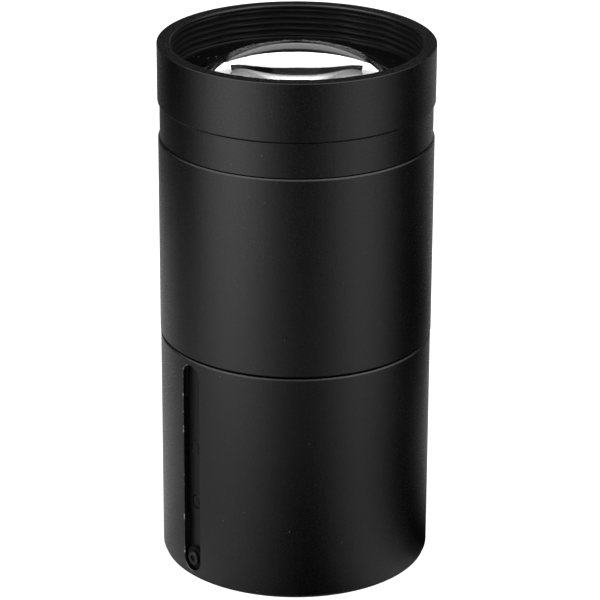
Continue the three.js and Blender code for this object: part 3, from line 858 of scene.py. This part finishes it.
def lens_card(name, bearings, low, high, strength, lens_set, low_level=None, distance=6000.0,
              steps=48):
    """Softbox for the lenses alone. low and high give its edges' elevation at a bearing.

    It dims towards its two sides. low_level dims its whole lower edge as well.
    """
    verts, levels = [], []
    first, last = bearings
    for k in range(steps + 1):
        bearing = first + (last - first) * k / steps
        turn = math.radians(bearing)
        side = -to_camera * math.cos(turn) + to_right * math.sin(turn)
        centred = max(SIDE_LEVEL, 1 - (bearing / SIDE_BEARING) ** 4)
        for elevation, level in ((low(bearing), low_level or centred),
                                 (high(bearing), centred)):
            rise = math.radians(elevation)
            point = side * math.cos(rise) + Vector((0, 0, math.sin(rise)))
            verts.append(point * distance + Vector((0, 0, LENS_LEVEL)))
            levels.append(level)
    faces = [(2 * k, 2 * k + 2, 2 * k + 3, 2 * k + 1) for k in range(steps)]
    card = solid(name, verts, faces)
    only_reflected(card)
    made = bpy.data.materials.new(name)
    made.use_nodes = True
    tree = made.node_tree
    tree.nodes.remove(tree.nodes["Principled BSDF"])
    glow = tree.nodes.new("ShaderNodeEmission")
    glow.inputs["Strength"].default_value = strength
    shade = card.data.color_attributes.new("level", "FLOAT_COLOR", "POINT")
    for datum, level in zip(shade.data, levels):
        datum.color = (level, level, level, 1)
    fading = tree.nodes.new("ShaderNodeAttribute")
    fading.attribute_name = "level"
    link(tree, fading, "Color", glow, "Color")
    link(tree, glow, "Emission", tree.nodes["Material Output"], "Surface")
    card.data.materials.append(made)
    card.light_linking.receiver_collection = lens_set


# Softboxes, as (bearing, half width, level): one on each side of the loupe, and weaker light from
# behind or in front. The far ones are level with the loupe, the middle and near ones are what its
# walls reflect from the table, and the last are overhead.
FAR_SOFTBOXES = [(-53, 46, 1.95), (55, 41, 1.1), (170, 60, 0.35)]
MIDDLE_SOFTBOXES = [(-50, 62, 1.0), (52, 45, 0.78), (5, 40, 0.22), (180, 50, 0.8), (-128, 40, 0.42)]
NEAR_SOFTBOXES = [(-47, 55, 0.6), (47, 35, 0.52), (180, 90, 0.6), (-108, 50, 0.42)]
OVERHEAD_SOFTBOXES = [(-66, 72, 3.4), (68, 72, 3.1), (0, 60, 0.4)]
OVERHEAD_RISE = (0.26, 0.4)
ARCH_POWER = 2.6       # 2 would be an ellipse
SIDE_BEARING, SIDE_LEVEL = 22, 0.2      # a lens card dims towards its two sides
BACKDROP = (0.96, 0.96, 0.96, 1)
FLOOR_RADIUS, FLOOR_GLOW, FLOOR_ALBEDO = 3.0, 0.8, 0.5
CARD_RADIUS = 0.36
NEAR_TO_MIDDLE, CARD_FADE = (0.08, 0.15), (0.17, 0.3)    # distances from the loupe's axis

# The lenses' cards. An arch is (half width, foot, rise), all in degrees.
LOWER_ARCH = (17.4, 25, 21.6)
EDGE_ARCH = (19.8, 30, 24.6)
UPPER_ARCH = (25, 31, 27)
TOP_OF_SOFTBOX = 78
STRIP_BEARINGS = (15, 25)
STRIP_LOW, STRIP_HIGH = (11, 1.35), (17, 1.9)    # elevation where a strip starts, and its slope
HORIZON_LEVEL, BACK_LEVEL, TOP_LEVEL, STRIP_LEVEL = 0.8, 12.0, 20.0, 26.0

place_camera()
studio_world(FAR_SOFTBOXES, OVERHEAD_SOFTBOXES, OVERHEAD_RISE, BACKDROP)
make_floor(FLOOR_RADIUS, FLOOR_GLOW, FLOOR_ALBEDO)
make_floor_card(CARD_RADIUS, NEAR_SOFTBOXES, MIDDLE_SOFTBOXES, NEAR_TO_MIDDLE, CARD_FADE)

LENS_LEVEL = reach("front_crown_lens")[2]
lens_set = bpy.data.collections.new("lenses")
for lens in ("fine_front_crown_lens", "fine_front_flint_lens", "fine_rear_lens"):
    lens_set.objects.link(bpy.data.objects[lens])


def arch(bearing, half_width, foot, rise):
    """Elevation of an arch's top edge at a bearing."""
    across = abs(bearing) / half_width
    return foot + rise * max(0, 1 - across ** ARCH_POWER) ** (1 / ARCH_POWER)


def strip_edge(bearing, edge):
    """Elevation of a side strip's lower or upper edge at a bearing."""
    start, slope = edge
    return start + slope * (abs(bearing) - STRIP_BEARINGS[0])


lens_card("horizon_softbox", (-18, 18), lambda b: 5, lambda b: 19 - 0.03 * b * b, HORIZON_LEVEL,
          lens_set)
lens_card("back_softbox", (-LOWER_ARCH[0], LOWER_ARCH[0]), lambda b: 25.4 - 0.045 * b * b,
          lambda b: arch(b, *LOWER_ARCH), BACK_LEVEL, lens_set)
lens_card("top_softbox_edge", (-UPPER_ARCH[0], UPPER_ARCH[0]), lambda b: arch(b, *EDGE_ARCH),
          lambda b: arch(b, *UPPER_ARCH), TOP_LEVEL, lens_set, low_level=0.05)
lens_card("top_softbox", (-UPPER_ARCH[0], UPPER_ARCH[0]), lambda b: arch(b, *UPPER_ARCH),
          lambda b: TOP_OF_SOFTBOX, TOP_LEVEL, lens_set)
for side, side_name in ((-1, "left"), (1, "right")):
    lens_card("side_strip_" + side_name, tuple(side * b for b in STRIP_BEARINGS),
              lambda b: strip_edge(b, STRIP_LOW), lambda b: strip_edge(b, STRIP_HIGH),
              STRIP_LEVEL, lens_set)

bpy.context.scene.view_settings.view_transform = "Standard"
